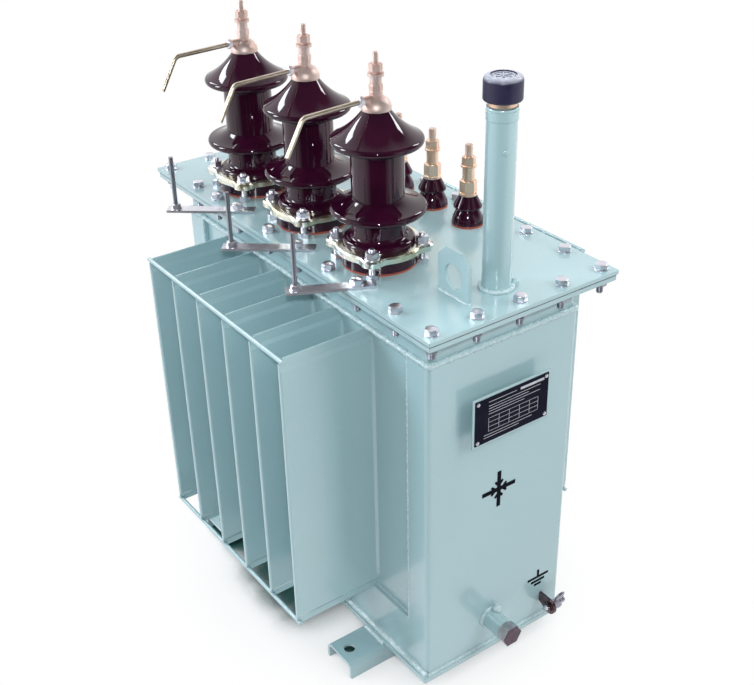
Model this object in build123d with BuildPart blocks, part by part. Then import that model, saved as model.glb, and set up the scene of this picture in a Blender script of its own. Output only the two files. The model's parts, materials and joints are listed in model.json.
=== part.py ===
from build123d import *
import os
from math import atan2, cos, degrees, hypot, radians, sin

# Three-phase oil-filled distribution transformer in a finned steel tank, in millimetres.
# The origin is on the ground under the middle of the tank. X runs along the tank, towards the
# end that carries the rating plate. The high-voltage bushings stand along the -Y side. Z is up.

# Length by which a cutting shape passes the face that it cuts
overrun = 2.0

# Feet: two channels, open below, across the tank
foot_inset = 139.0
foot_width = 70.0
foot_height = 30.0
foot_overhang = 73.0
foot_sheet = 5.0
foot_inner_radius = 7.0
foot_hole_edge = 21.0
foot_hole_diameter = 19.0

# Bottom plate: how far it passes the walls, and its sheet
base_margin_x = 5.0
base_margin_y = 9.0
base_thickness = 8.0
base_corner_radius = 4.0

# Tank walls: bent end walls with returns, and side walls with a skirt under an inset panel
tank_length = 695.0
tank_width = 284.0
tank_height = 584.0
wall_sheet = 6.0
tank_inner_radius = 2.0
return_length = 49.0
skirt_height = 89.0
panel_step = 2.0
panel_sheet = 4.0
panel_lap = 14.0

# Cooling fins, pinched shut along their top and bottom, with a tie rod at each outer corner
fin_count = 6
fin_pitch = 80.4
fin_depth = 159.0
fin_thickness = 8.0
fin_nose_share = 0.8
fin_pinch_share = 0.375
fin_top_pinch = 15.0
fin_bottom_pinch = 11.0
fin_pinch_slope = 6.0
fin_rod_diameter = 7.0
fin_rod_overhang = 3.0

# Angle frame on top of the walls, gasket and cover
frame_height = 61.5
frame_recess = 4.0
frame_sheet = 7.0
frame_inner_radius = 1.0
gasket_thickness = 3.0
gasket_margin = 2.0
cover_margin_x = 44.0
cover_margin_y = 32.0
cover_thickness = 6.0
cover_corner_radius = 1.5
cover_bolt_edge = 18.0

# High-voltage bushings: places, then porcelain radii, then its heights one on the other
hv_count = 3
hv_pitch = 181.5
hv_middle_x = -32.0
hv_edge = 95.0
hv_shoulder = 2.5
hv_seat_radius = 54.0
hv_stem_radius = 40.0
hv_body_radius = 39.0
hv_neck_radius = 19.5
hv_lower_shed_radius = 71.0
hv_upper_shed_radius = 67.5
hv_shed_lip = 5.5
hv_base_height = 23.0
hv_seat_height = 12.0
hv_stem_height = 22.0
hv_lower_hollow = 14.5
hv_lower_rise = 16.5
hv_body_height = 69.0
hv_upper_hollow = 16.5
hv_upper_rise = 44.5
hv_hollow_share = 0.12
hv_bell_sag_share = 0.06

# Clamp ring round each high-voltage bushing, with a lobe for each of its studs
clamp_clearance = 0.5
clamp_width = 11.5
clamp_stud_offset = 9.5
clamp_lobe_radius = 16.0
clamp_lobe_blend = 24.0
clamp_stud_count = 4
clamp_first_stud_angle = 45.0
clamp_thickness = 10.0
clamp_edge = 2.5

# High-voltage terminal, from the porcelain up: cap with an ear for the horn, then nuts on a stud
terminal_cap_radius = 21.5
terminal_cap_rim = 3.0
terminal_cap_shoulder_radius = 19.2
terminal_cap_shoulder_height = 10.3
terminal_cap_height = 18.5
terminal_ear_radius = 5.5
terminal_ear_reach = 24.0
terminal_ear_drop = 2.5
terminal_collar_radius = 9.2
terminal_collar_height = 7.5
terminal_nut_across_flats = 17.0
terminal_nut_height = 9.0
terminal_sleeve_radius = 8.2
terminal_sleeve_height = 12.0
terminal_washer_radius = 11.6
terminal_washer_thickness = 4.0
terminal_gap = 3.0
terminal_lock_nut_height = 10.0
terminal_stud_diameter = 8.0
terminal_stud_end = 15.5

# Spark gap horns: a bent rod on the terminal, and a rod on a bar that a cover bolt holds
horn_diameter = 7.0
horn_heading = 4.2
horn_reach = 126.0
horn_tip_out = 29.0
horn_tip_drop = 48.0
horn_bend_radius = 12.0
bar_width = 20.0
bar_thickness = 4.0
bar_past_bolt = 28.0
bar_past_rod = 14.0
bar_rod_height = 92.0
bar_bolt_offsets = (77.0, 76.0, 51.0)

# Low-voltage bushings: places, radii, then heights one on the other, and their terminals
lv_count = 4
lv_pitch = 90.0
lv_inset = 262.5
lv_edge = 67.0
lv_base_radius = 25.3
lv_waist_radius = 17.0
lv_lip_radius = 22.6
lv_top_radius = 13.5
lv_skirt_bulge = 1.5
lv_lip_edge = 1.2
lv_base_height = 4.0
lv_skirt_height = 21.0
lv_hollow_height = 4.0
lv_lip_height = 2.5
lv_crown_height = 17.5
lv_seal_radius = 14.2
lv_seal_height = 4.0
lv_nut_across_flats = 24.0
lv_nut_height = 19.0
lv_sleeve_radius = 9.5
lv_sleeve_height = 23.0
lv_washer_radius = 12.3
lv_washer_height = 2.5
lv_lock_nut_across_flats = 19.0
lv_lock_nut_height = 13.5
lv_stud_diameter = 12.0
lv_stud_end = 19.0

# Filler pipe, its collar, neck ring and cap
filler_inset = 69.5
filler_diameter = 42.4
filler_wall = 3.2
filler_height = 261.0
filler_collar_step = 1.0
filler_collar_height = 13.0
filler_weld_leg = 5.0
neck_ring_step = 1.2
neck_ring_height = 12.0
cap_overlap = 5.5
cap_height = 34.0
cap_edge = 8.0
cap_lower_edge = 3.0
cap_top_recess = 2.0
cap_top_rim = 9.0

# Lifting lugs
lug_inset = 84.0
lug_y = 64.5
lug_width = 67.0
lug_height = 72.0
lug_thickness = 5.0
lug_chamfer_x = 18.0
lug_chamfer_z = 16.0
lug_eye_diameter = 38.0
lug_eye_height = 31.0

# Rating plate on its bracket, on the right end wall
plate_width = 149.0
plate_height = 84.5
plate_y = -1.0
plate_drop = 113.0
plate_standoff = 17.0
plate_sheet = 2.0
plate_margin = 4.0
plate_thickness = 1.0
plate_leg_inset = 28.0
plate_leg_height = 40.0

# Drain stub and plug, and earth terminal, on the right end wall
drain_y = -13.0
drain_rise = 57.0
drain_diameter = 34.0
drain_wall = 4.0
drain_length = 39.5
drain_plug_across_flats = 34.0
drain_plug_flange = 5.0
drain_plug_head = 13.0
earth_inset = 41.0
earth_rise = 34.0
earth_tab_thickness = 5.0
earth_tab_reach = 24.5
earth_tab_root = 17.0
earth_tab_lift = 5.5
earth_tab_radius = 14.0
earth_stud_diameter = 10.0
earth_stud_front = 5.0
earth_stud_rear = 28.0

# Plates that follow from the tank
base_length = tank_length + 2 * base_margin_x
base_width = tank_width + 2 * base_margin_y
foot_length = base_width + 2 * foot_overhang
frame_length = tank_length - 2 * frame_recess
frame_width = tank_width - 2 * frame_recess
cover_length = tank_length + 2 * cover_margin_x
cover_width = tank_width + 2 * cover_margin_y
return_x = tank_length / 2 - return_length
end_face = tank_length / 2
panel_face = tank_width / 2 - wall_sheet - panel_step
fin_edge = panel_face + fin_depth

# Levels, from the ground up
base_top = foot_height + base_thickness
wall_top = base_top + tank_height
skirt_top = base_top + skirt_height
frame_top = wall_top + frame_height
cover_bottom = frame_top + gasket_thickness
cover_top = cover_bottom + cover_thickness

ends = {"left": -1, "right": 1}
sides = {"front": -1, "rear": 1}

os.makedirs("parts", exist_ok=True)


def save(piece, name):
    """Label a finished piece and write it to its own file."""
    piece.label = name
    export_step(piece, f"parts/{name}.step")


def facing_side(sign, distance):
    """Plane that faces out of a long side, at a distance from the middle of the tank, upright."""
    return Plane(origin=(0, sign * distance, 0), x_dir=(-sign, 0, 0), z_dir=(0, sign, 0))


def facing_right(y, z, distance):
    """Plane that faces out of the right end, with its own x to +Y and its y upright."""
    return Plane(origin=(distance, y, z), x_dir=(0, 1, 0), z_dir=(1, 0, 0))


def upright_at(x, y, z):
    """Upright plane through an axis at x, y: its own x is the radius and its y the height."""
    return Plane(origin=(x, y, z), x_dir=(1, 0, 0), z_dir=(0, -1, 0))


# Feet
foot_bend_radius = foot_inner_radius + foot_sheet
for end, sign in ends.items():
    foot_x = sign * (base_length / 2 - foot_inset)
    with BuildPart() as foot:
        with BuildSketch(Plane.XZ) as foot_section:
            with Locations((foot_x, 0)):
                Rectangle(foot_width, foot_height, align=(Align.CENTER, Align.MIN))
            fillet(foot_section.vertices().group_by(Axis.Y)[-1], radius=foot_bend_radius)
            with Locations((foot_x, foot_height - foot_sheet)):
                RectangleRounded(
                    foot_width - 2 * foot_sheet,
                    foot_height + foot_bend_radius,
                    foot_inner_radius,
                    align=(Align.CENTER, Align.MAX),
                    mode=Mode.SUBTRACT,
                )
        extrude(amount=foot_length / 2, both=True)
        with Locations((foot_x, 0, foot_height)):
            with GridLocations(0, foot_length - 2 * foot_hole_edge, 1, 2):
                Hole(foot_hole_diameter / 2, depth=foot_sheet + overrun)
    save(foot.part, f"{end}_foot")

# Bottom plate
with BuildPart() as base:
    with BuildSketch(Plane.XY.offset(foot_height)):
        RectangleRounded(base_length, base_width, base_corner_radius)
    extrude(amount=base_thickness)
save(base.part, "bottom_plate")

# End walls, bent round both corners of the tank
for end, sign in ends.items():
    with BuildPart() as end_wall:
        with BuildSketch(Plane.XY.offset(base_top)):
            RectangleRounded(tank_length, tank_width, tank_inner_radius + wall_sheet)
            RectangleRounded(
                tank_length - 2 * wall_sheet,
                tank_width - 2 * wall_sheet,
                tank_inner_radius,
                mode=Mode.SUBTRACT,
            )
            with Locations((sign * (tank_length - return_length) / 2, 0)):
                Rectangle(return_length, tank_width, mode=Mode.INTERSECT)
        extrude(amount=tank_height)
    save(end_wall.part, f"{end}_end_wall")

# Side walls: the panel laps behind the returns and the skirt, and its middle is set in
for side, sign in sides.items():
    with BuildPart() as side_wall:
        with BuildSketch(facing_side(sign, panel_face - panel_sheet)):
            with Locations((0, skirt_top - panel_lap)):
                Rectangle(
                    2 * (return_x + panel_lap),
                    tank_height - skirt_height + panel_lap,
                    align=(Align.CENTER, Align.MIN),
                )
        extrude(amount=panel_sheet + panel_step)
        with BuildSketch(facing_side(sign, panel_face)):
            with Locations((0, skirt_top)):
                Rectangle(2 * return_x, tank_height, align=(Align.CENTER, Align.MIN))
        extrude(amount=panel_step, mode=Mode.SUBTRACT)
        with BuildSketch(facing_side(sign, panel_face + panel_step)):
            with Locations((0, base_top)):
                Rectangle(2 * return_x, skirt_height, align=(Align.CENTER, Align.MIN))
        extrude(amount=wall_sheet)
    save(side_wall.part, f"{side}_side_wall")

# Fins: an upright outline pinched at both ends, a rounded nose and a notch for each tie rod
fin_half = fin_thickness / 2
pinch_half = fin_pinch_share * fin_half
fin_right_outline = [
    (pinch_half, skirt_top),
    (pinch_half, skirt_top + fin_bottom_pinch),
    (fin_half, skirt_top + fin_bottom_pinch + fin_pinch_slope),
    (fin_half, wall_top - fin_top_pinch - fin_pinch_slope),
    (pinch_half, wall_top - fin_top_pinch),
    (pinch_half, wall_top),
]
fin_outline = fin_right_outline + [(-x, z) for x, z in reversed(fin_right_outline)]
rod_levels = (skirt_top + fin_rod_diameter / 2, wall_top - fin_rod_diameter / 2)
fin_row = (fin_count - 1) * fin_pitch
fin_places = [index * fin_pitch - fin_row / 2 for index in range(fin_count)]
for side, sign in sides.items():
    with BuildPart() as fins:
        with BuildSketch(facing_side(sign, panel_face)):
            for fin_x in fin_places:
                with BuildLine():
                    Polyline(*[(fin_x + x, z) for x, z in fin_outline], close=True)
                make_face()
        extrude(amount=fin_depth)
        noses = fins.edges().filter_by(Axis.Z).group_by(Axis.Y)[0 if sign < 0 else -1]
        long_noses = noses.filter_by(lambda edge: edge.length > tank_height / 2)
        fillet(long_noses, radius=fin_nose_share * fin_half)
        with BuildSketch(facing_side(sign, fin_edge - fin_rod_diameter)):
            with Locations(*[(0, level) for level in rod_levels]):
                Rectangle(fin_row + fin_pitch, fin_rod_diameter)
        extrude(amount=fin_rod_diameter, mode=Mode.SUBTRACT)
    save(fins.part, f"{side}_fins")
    with BuildPart() as rods:
        rod_half = (fin_row + fin_thickness) / 2 + fin_rod_overhang
        with BuildSketch(Plane.YZ):
            with Locations(*[(sign * (fin_edge - fin_rod_diameter / 2), z) for z in rod_levels]):
                Circle(fin_rod_diameter / 2)
        extrude(amount=rod_half, both=True)
    save(rods.part, f"{side}_fin_rods")

# Angle frame, welded from four mitred lengths: each is the whole ring cut at its corners
flange_length = cover_length - 2 * gasket_margin
flange_width = cover_width - 2 * gasket_margin
opening_length = frame_length - 2 * frame_sheet
opening_width = frame_width - 2 * frame_sheet
mitre_x = (flange_length - flange_width) / 2
frame_bars = {
    "front": [(-flange_length / 2, -flange_width / 2), (-mitre_x, 0), (mitre_x, 0),
              (flange_length / 2, -flange_width / 2)],
    "rear": [(-flange_length / 2, flange_width / 2), (-mitre_x, 0), (mitre_x, 0),
             (flange_length / 2, flange_width / 2)],
    "left": [(-flange_length / 2, -flange_width / 2), (-mitre_x, 0),
             (-flange_length / 2, flange_width / 2)],
    "right": [(flange_length / 2, -flange_width / 2), (mitre_x, 0),
              (flange_length / 2, flange_width / 2)],
}
for side, corners in frame_bars.items():
    with BuildPart() as frame_bar:
        with BuildSketch(Plane.XY.offset(wall_top)):
            RectangleRounded(frame_length, frame_width, frame_inner_radius + frame_sheet)
        extrude(amount=frame_height)
        with BuildSketch(Plane.XY.offset(frame_top)):
            RectangleRounded(flange_length, flange_width, cover_corner_radius)
        extrude(amount=-frame_sheet)
        with BuildSketch(Plane.XY.offset(wall_top)):
            RectangleRounded(opening_length, opening_width, frame_inner_radius)
        extrude(amount=frame_height, mode=Mode.SUBTRACT)
        with BuildSketch(Plane.XY.offset(wall_top)):
            with BuildLine():
                Polyline(*corners, close=True)
            make_face()
        extrude(amount=frame_height, mode=Mode.INTERSECT)
    save(frame_bar.part, f"{side}_flange")

# Gasket and cover
with BuildPart() as gasket:
    with BuildSketch(Plane.XY.offset(frame_top)):
        RectangleRounded(flange_length, flange_width, cover_corner_radius)
        Rectangle(opening_length, opening_width, mode=Mode.SUBTRACT)
    extrude(amount=gasket_thickness)
save(gasket.part, "cover_gasket")

with BuildPart() as cover:
    with BuildSketch(Plane.XY.offset(cover_bottom)):
        RectangleRounded(cover_length, cover_width, cover_corner_radius)
    extrude(amount=cover_thickness)
save(cover.part, "cover_plate")


def shed_curve(inner, radius, lip_height, top_inner):
    """Outline of one shed: its hollow underside, its round lip and its sloping top."""
    lip_foot = (radius - hv_shed_lip, lip_height - hv_shed_lip)
    lip_nose = (radius, lip_height)
    lip_crown = (radius - hv_shed_lip / 2, lip_height + hv_shed_lip)
    hollow_x = (inner[0] + lip_foot[0]) / 2
    hollow_y = (inner[1] + lip_foot[1]) / 2 + hv_hollow_share * (lip_foot[0] - inner[0])
    ThreePointArc(inner, (hollow_x, hollow_y), lip_foot)
    ThreePointArc(lip_foot, lip_nose, lip_crown)
    sag_x = (lip_crown[0] + top_inner[0]) / 2 - hv_bell_sag_share * (top_inner[1] - lip_crown[1])
    sag_y = (lip_crown[1] + top_inner[1]) / 2 - hv_bell_sag_share * (lip_crown[0] - top_inner[0])
    ThreePointArc(lip_crown, (sag_x, sag_y), top_inner)


# High-voltage bushings, each with its clamp ring, terminal and pair of horns
hv_y = hv_edge - cover_width / 2
hv_base_radius = hv_seat_radius + hv_shoulder
hv_seat_top = hv_base_height + hv_seat_height
hv_flare = (hv_seat_radius - hv_stem_radius) / 2
hv_stem_bottom = hv_seat_top + 2 * hv_flare
hv_stem_top = hv_stem_bottom + hv_stem_height
hv_lower_lip = hv_stem_top + hv_lower_hollow
hv_body_bottom = hv_lower_lip + hv_lower_rise
hv_body_top = hv_body_bottom + hv_body_height
hv_upper_lip = hv_body_top + hv_upper_hollow
hv_height = hv_upper_lip + hv_upper_rise
clamp_bottom = cover_top + hv_base_height
clamp_bore = hv_seat_radius + clamp_clearance
terminal_base = cover_top + hv_height
terminal_cap_top = terminal_base + terminal_cap_height
horn_level = terminal_cap_top - terminal_ear_drop
heading_x = sin(radians(horn_heading))
heading_y = -cos(radians(horn_heading))
bolt_row_y = cover_bolt_edge - cover_width / 2
for index in range(hv_count):
    number = index + 1
    hv_x = hv_middle_x + (index - (hv_count - 1) / 2) * hv_pitch
    hv_axis = Axis((hv_x, hv_y, 0), (0, 0, 1))
    with BuildPart() as bushing:
        with BuildSketch(upright_at(hv_x, hv_y, cover_top)):
            with BuildLine():
                Polyline((0, 0), (hv_base_radius, 0), (hv_base_radius, hv_base_height),
                         (hv_seat_radius, hv_base_height), (hv_seat_radius, hv_seat_top))
                flare_middle = (hv_stem_radius + hv_flare, hv_seat_top + hv_flare)
                TangentArc((hv_seat_radius, hv_seat_top), flare_middle, tangent=(0, 1))
                TangentArc(flare_middle, (hv_stem_radius, hv_stem_bottom), tangent=(-1, 0))
                Line((hv_stem_radius, hv_stem_bottom), (hv_stem_radius, hv_stem_top))
                shed_curve((hv_stem_radius, hv_stem_top), hv_lower_shed_radius, hv_lower_lip,
                           (hv_body_radius, hv_body_bottom))
                Line((hv_body_radius, hv_body_bottom), (hv_body_radius, hv_body_top))
                shed_curve((hv_body_radius, hv_body_top), hv_upper_shed_radius, hv_upper_lip,
                           (hv_neck_radius, hv_height))
                Polyline((hv_neck_radius, hv_height), (0, hv_height), (0, 0))
            make_face()
        revolve(axis=hv_axis)
    save(bushing.part, f"hv_bushing_{number}")

    with BuildPart() as clamp:
        clamp_plane = Plane(origin=(hv_x, hv_y, clamp_bottom))
        with BuildSketch(clamp_plane) as clamp_outline:
            Circle(clamp_bore + clamp_width)
            with PolarLocations(clamp_bore + clamp_stud_offset, clamp_stud_count, clamp_first_stud_angle):
                Circle(clamp_lobe_radius)
            fillet(clamp_outline.vertices(), radius=clamp_lobe_blend)
        extrude(amount=clamp_thickness)
        chamfer(clamp.faces().sort_by(Axis.Z)[-1].edges(), length=clamp_edge)
        with BuildSketch(clamp_plane):
            Circle(clamp_bore)
        extrude(amount=clamp_thickness, mode=Mode.SUBTRACT)
    save(clamp.part, f"hv_clamp_ring_{number}")

    with BuildPart() as terminal:
        with BuildSketch(upright_at(hv_x, hv_y, terminal_base)):
            with BuildLine():
                Polyline((0, 0), (terminal_cap_radius, 0), (terminal_cap_radius, terminal_cap_rim))
                ThreePointArc(
                    (terminal_cap_radius, terminal_cap_rim),
                    (terminal_cap_shoulder_radius, terminal_cap_shoulder_height),
                    (terminal_collar_radius, terminal_cap_height),
                )
                Polyline((terminal_collar_radius, terminal_cap_height), (0, terminal_cap_height), (0, 0))
            make_face()
        revolve(axis=hv_axis)
        with BuildSketch(Plane(origin=(hv_x, hv_y, horn_level), z_dir=(heading_x, heading_y, 0))):
            Circle(terminal_ear_radius)
        extrude(amount=terminal_ear_reach)
        with BuildSketch(Plane(origin=(hv_x, hv_y, terminal_cap_top))):
            Circle(terminal_collar_radius)
        extrude(amount=terminal_collar_height)
        nut_level = terminal_cap_top + terminal_collar_height
        with BuildSketch(Plane(origin=(hv_x, hv_y, nut_level))):
            RegularPolygon(terminal_nut_across_flats / 2, side_count=6, major_radius=False)
        extrude(amount=terminal_nut_height)
        sleeve_level = nut_level + terminal_nut_height
        with BuildSketch(Plane(origin=(hv_x, hv_y, sleeve_level))):
            Circle(terminal_sleeve_radius)
        extrude(amount=terminal_sleeve_height)
        washer_level = sleeve_level + terminal_sleeve_height
        with BuildSketch(Plane(origin=(hv_x, hv_y, washer_level))):
            Circle(terminal_washer_radius)
        extrude(amount=terminal_washer_thickness)
        lock_level = washer_level + terminal_washer_thickness + terminal_gap
        with BuildSketch(Plane(origin=(hv_x, hv_y, lock_level))):
            RegularPolygon(terminal_nut_across_flats / 2, side_count=6, major_radius=False)
        extrude(amount=terminal_lock_nut_height)
        with BuildSketch(Plane(origin=(hv_x, hv_y, terminal_cap_top))):
            Circle(terminal_stud_diameter / 2)
        extrude(amount=lock_level + terminal_lock_nut_height + terminal_stud_end - terminal_cap_top)
    save(terminal.part, f"hv_terminal_{number}")

    horn_end = horn_reach + horn_tip_out
    horn_points = [
        (hv_x + heading_x * reach, hv_y + heading_y * reach, horn_level - drop)
        for reach, drop in ((terminal_ear_reach, 0), (horn_reach, 0), (horn_end, horn_tip_drop))
    ]
    with BuildPart() as upper_horn:
        with BuildLine():
            FilletPolyline(*horn_points, radius=horn_bend_radius)
        with BuildSketch(Plane(origin=horn_points[0], z_dir=(heading_x, heading_y, 0))):
            Circle(horn_diameter / 2)
        sweep()
    save(upper_horn.part, f"upper_horn_{number}")

    bolt_x = hv_x + bar_bolt_offsets[index]
    rod_x, rod_y, _ = horn_points[-1]
    bar_span = hypot(bolt_x - rod_x, bolt_row_y - rod_y)
    bar_angle = degrees(atan2(bolt_row_y - rod_y, bolt_x - rod_x))
    with BuildPart() as lower_horn:
        bar_plane = Plane(origin=(rod_x, rod_y, cover_top)).rotated((0, 0, bar_angle))
        with BuildSketch(bar_plane):
            with Locations((-bar_past_rod, 0)):
                Rectangle(
                    bar_past_rod + bar_span + bar_past_bolt,
                    bar_width,
                    align=(Align.MIN, Align.CENTER),
                )
        extrude(amount=bar_thickness)
        with BuildSketch(bar_plane):
            Circle(horn_diameter / 2)
        extrude(amount=bar_rod_height)
    save(lower_horn.part, f"lower_horn_{number}")

# Low-voltage bushings and their terminals
lv_y = cover_width / 2 - lv_edge
lv_first_x = cover_length / 2 - lv_inset
lv_places = [(lv_first_x - index * lv_pitch, lv_y) for index in range(lv_count)]
lv_skirt_top = lv_base_height + lv_skirt_height
lv_lip_bottom = lv_skirt_top + lv_hollow_height
lv_lip_top = lv_lip_bottom + lv_lip_height
lv_height = lv_lip_top + lv_crown_height
lv_skirt_middle = (lv_base_radius + lv_waist_radius) / 2 + lv_skirt_bulge
with BuildPart() as lv_bushings:
    for lv_x, lv_row_y in lv_places:
        with BuildSketch(upright_at(lv_x, lv_row_y, cover_top)) as lv_section:
            with BuildLine():
                Polyline((0, 0), (lv_base_radius, 0), (lv_base_radius, lv_base_height))
                ThreePointArc(
                    (lv_base_radius, lv_base_height),
                    (lv_skirt_middle, (lv_base_height + lv_skirt_top) / 2),
                    (lv_waist_radius, lv_skirt_top),
                )
                Polyline((lv_waist_radius, lv_skirt_top), (lv_lip_radius, lv_lip_bottom),
                         (lv_lip_radius, lv_lip_top), (lv_top_radius, lv_height), (0, lv_height), (0, 0))
            make_face()
            lip_levels = lv_section.vertices().group_by(Axis.Y)[3:5]
            fillet([corner for level in lip_levels for corner in level], radius=lv_lip_edge)
        revolve(axis=Axis((lv_x, lv_row_y, 0), (0, 0, 1)))
save(lv_bushings.part, "lv_bushings")

with BuildPart() as lv_terminals:
    seal_level = cover_top + lv_height
    nut_level = seal_level + lv_seal_height
    sleeve_level = nut_level + lv_nut_height
    washer_level = sleeve_level + lv_sleeve_height
    lock_level = washer_level + lv_washer_height
    stud_top = lock_level + lv_lock_nut_height + lv_stud_end
    with BuildSketch(Plane.XY.offset(seal_level)):
        with Locations(*lv_places):
            Circle(lv_seal_radius)
    extrude(amount=lv_seal_height)
    with BuildSketch(Plane.XY.offset(nut_level)):
        with Locations(*lv_places):
            RegularPolygon(lv_nut_across_flats / 2, side_count=6, major_radius=False)
    extrude(amount=lv_nut_height)
    with BuildSketch(Plane.XY.offset(sleeve_level)):
        with Locations(*lv_places):
            Circle(lv_sleeve_radius)
    extrude(amount=lv_sleeve_height)
    with BuildSketch(Plane.XY.offset(washer_level)):
        with Locations(*lv_places):
            Circle(lv_washer_radius)
    extrude(amount=lv_washer_height)
    with BuildSketch(Plane.XY.offset(lock_level)):
        with Locations(*lv_places):
            RegularPolygon(lv_lock_nut_across_flats / 2, side_count=6, major_radius=False)
    extrude(amount=lv_lock_nut_height)
    with BuildSketch(Plane.XY.offset(seal_level)):
        with Locations(*lv_places):
            Circle(lv_stud_diameter / 2)
    extrude(amount=stud_top - seal_level)
save(lv_terminals.part, "lv_terminals")

# Filler pipe with its collar and foot weld, then neck ring and cap
filler_x = cover_length / 2 - filler_inset
filler_axis = Axis((filler_x, 0, 0), (0, 0, 1))
filler_radius = filler_diameter / 2
filler_bore = filler_radius - filler_wall
collar_radius = filler_radius + filler_collar_step
collar_bottom = filler_height - filler_collar_height
with BuildPart() as filler:
    with BuildSketch(upright_at(filler_x, 0, cover_top)):
        with BuildLine():
            Polyline(
                (filler_bore, 0),
                (filler_radius + filler_weld_leg, 0),
                (filler_radius, filler_weld_leg),
                (filler_radius, collar_bottom),
                (collar_radius, collar_bottom),
                (collar_radius, filler_height),
                (filler_bore, filler_height),
                close=True,
            )
        make_face()
    revolve(axis=filler_axis)
save(filler.part, "filler_pipe")

with BuildPart() as neck_ring:
    with BuildSketch(Plane(origin=(filler_x, 0, cover_top + filler_height))):
        Circle(filler_radius - neck_ring_step)
        Circle(filler_bore, mode=Mode.SUBTRACT)
    extrude(amount=neck_ring_height)
save(neck_ring.part, "filler_neck_ring")

with BuildPart() as cap:
    cap_bottom = cover_top + filler_height + neck_ring_height
    cap_radius = filler_radius + cap_overlap
    with BuildSketch(Plane(origin=(filler_x, 0, cap_bottom))):
        Circle(cap_radius)
    extrude(amount=cap_height)
    fillet(cap.edges().sort_by(Axis.Z)[-1], radius=cap_edge)
    fillet(cap.faces().sort_by(Axis.Z)[0].edges(), radius=cap_lower_edge)
    with BuildSketch(Plane(origin=(filler_x, 0, cap_bottom + cap_height))):
        Circle(cap_radius - cap_top_rim)
    extrude(amount=-cap_top_recess, mode=Mode.SUBTRACT)
save(cap.part, "filler_cap")

# Lifting lugs on opposite corners of the cover
lug_x = cover_length / 2 - lug_inset
for end, sign in ends.items():
    with BuildPart() as lug:
        lug_plane = upright_at(sign * lug_x, -sign * lug_y, cover_top)
        with BuildSketch(lug_plane):
            with BuildLine():
                Polyline(
                    (-lug_width / 2, 0),
                    (lug_width / 2, 0),
                    (lug_width / 2, lug_height - lug_chamfer_z),
                    (lug_width / 2 - lug_chamfer_x, lug_height),
                    (lug_chamfer_x - lug_width / 2, lug_height),
                    (-lug_width / 2, lug_height - lug_chamfer_z),
                    close=True,
                )
            make_face()
            with Locations((0, lug_eye_height)):
                Circle(lug_eye_diameter / 2, mode=Mode.SUBTRACT)
        extrude(amount=lug_thickness / 2, both=True)
    save(lug.part, f"{end}_lifting_lug")

# Rating plate and its bracket
plate_z = wall_top - plate_drop
with BuildPart() as bracket:
    with BuildSketch(facing_right(plate_y, plate_z, end_face + plate_standoff)):
        Rectangle(plate_width, plate_height)
    extrude(amount=plate_sheet)
    leg_offset = plate_width / 2 - plate_leg_inset
    with BuildSketch(facing_right(plate_y, plate_z, end_face)):
        with GridLocations(2 * leg_offset, 0, 2, 1):
            Rectangle(plate_sheet, plate_leg_height)
    extrude(amount=plate_standoff)
save(bracket.part, "plate_bracket")

with BuildPart() as rating_plate:
    with BuildSketch(facing_right(plate_y, plate_z, end_face + plate_standoff + plate_sheet)):
        Rectangle(plate_width - 2 * plate_margin, plate_height - 2 * plate_margin)
    extrude(amount=plate_thickness)
save(rating_plate.part, "rating_plate")

# Drain stub and plug
drain_z = base_top + drain_rise
with BuildPart() as drain:
    with BuildSketch(facing_right(drain_y, drain_z, end_face)):
        Circle(drain_diameter / 2)
        Circle(drain_diameter / 2 - drain_wall, mode=Mode.SUBTRACT)
    extrude(amount=drain_length)
save(drain.part, "drain_stub")

with BuildPart() as plug:
    with BuildSketch(facing_right(drain_y, drain_z, end_face + drain_length)):
        Circle(drain_plug_across_flats / 2)
    extrude(amount=drain_plug_flange)
    with BuildSketch(facing_right(drain_y, drain_z, end_face + drain_length + drain_plug_flange)):
        RegularPolygon(drain_plug_across_flats / 2, side_count=6, major_radius=False)
    extrude(amount=drain_plug_head)
save(plug.part, "drain_plug")

# Earth terminal: a tab on the end wall, with a stud through its round end along Y
earth_y = tank_width / 2 - earth_inset
earth_z = base_top + earth_rise
earth_tab_rear = earth_y + earth_tab_thickness / 2
earth_stud_x = end_face + earth_tab_reach
with BuildPart() as earth:
    with BuildSketch(upright_at(end_face, earth_tab_rear, earth_z)):
        with Locations((earth_tab_reach, 0)):
            Circle(earth_tab_radius)
        with Locations((0, earth_tab_lift)):
            Rectangle(earth_tab_reach / 2, earth_tab_root, align=(Align.MIN, Align.CENTER))
        make_hull()
    extrude(amount=earth_tab_thickness)
    with BuildSketch(upright_at(earth_stud_x, earth_tab_rear + earth_stud_rear, earth_z)):
        Circle(earth_stud_diameter / 2)
    extrude(amount=earth_stud_rear + earth_tab_thickness + earth_stud_front)
save(earth.part, "earth_terminal")
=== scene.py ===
import json
import random
from math import ceil, cos, hypot, pi, radians, sin

import bmesh
import bpy
from mathutils import Matrix, Vector


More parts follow.
